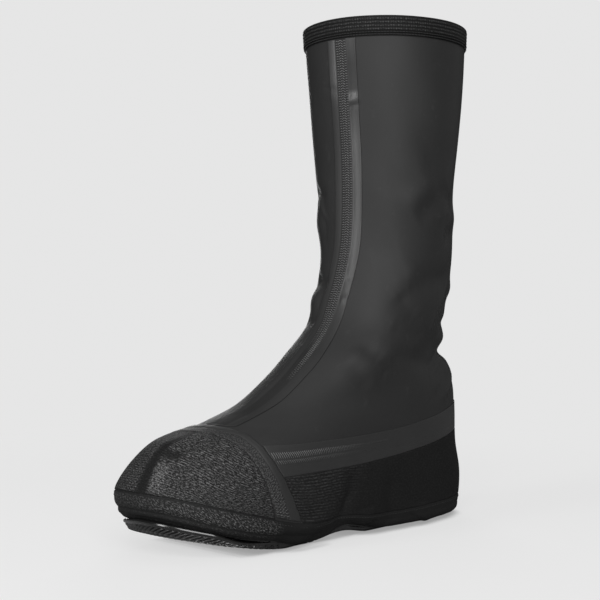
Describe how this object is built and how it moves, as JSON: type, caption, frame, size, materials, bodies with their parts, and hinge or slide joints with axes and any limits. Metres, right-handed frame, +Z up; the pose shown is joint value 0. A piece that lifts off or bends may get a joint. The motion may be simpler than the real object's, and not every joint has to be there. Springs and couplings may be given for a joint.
{
  "type": "cycling overshoe",
  "caption": "Tall left cycling overshoe: a hollow fabric cover with taped seams, a knit toe cap, an elastic collar and a ribbed rubber sole.",
  "frame": {"origin": "on the floor, under the middle of the overshoe's box", "axes": "+Z up, the toe points to -Y, the wearer's left is +X"},
  "size_m": [0.1287, 0.3154, 0.3806],
  "materials": {
    "upper": "coated stretch fabric with a soft satin sheen",
    "sole": "moulded, slightly glossy",
    "toe_cap": "matt abrasion knit with pale flecks",
    "side_panel": "matt fine rib knit",
    "front_tape": "smooth bonded tape, glossy",
    "panel_tape": "smooth bonded tape, satin",
    "cap_tape": "smooth bonded tape, satin",
    "hem": "matt elastic casing",
    "collar_binding": "ribbed elastic"
  },
  "bodies": {
    "root": {"upper": "upper", "sole": "sole", "toe_cap": "toe_cap", "side_panel": "side_panel", "front_tape": "front_tape", "panel_tape": "panel_tape", "cap_tape": "cap_tape", "hem": "hem", "collar_binding": "collar_binding"}
  },
  "joints": []
}
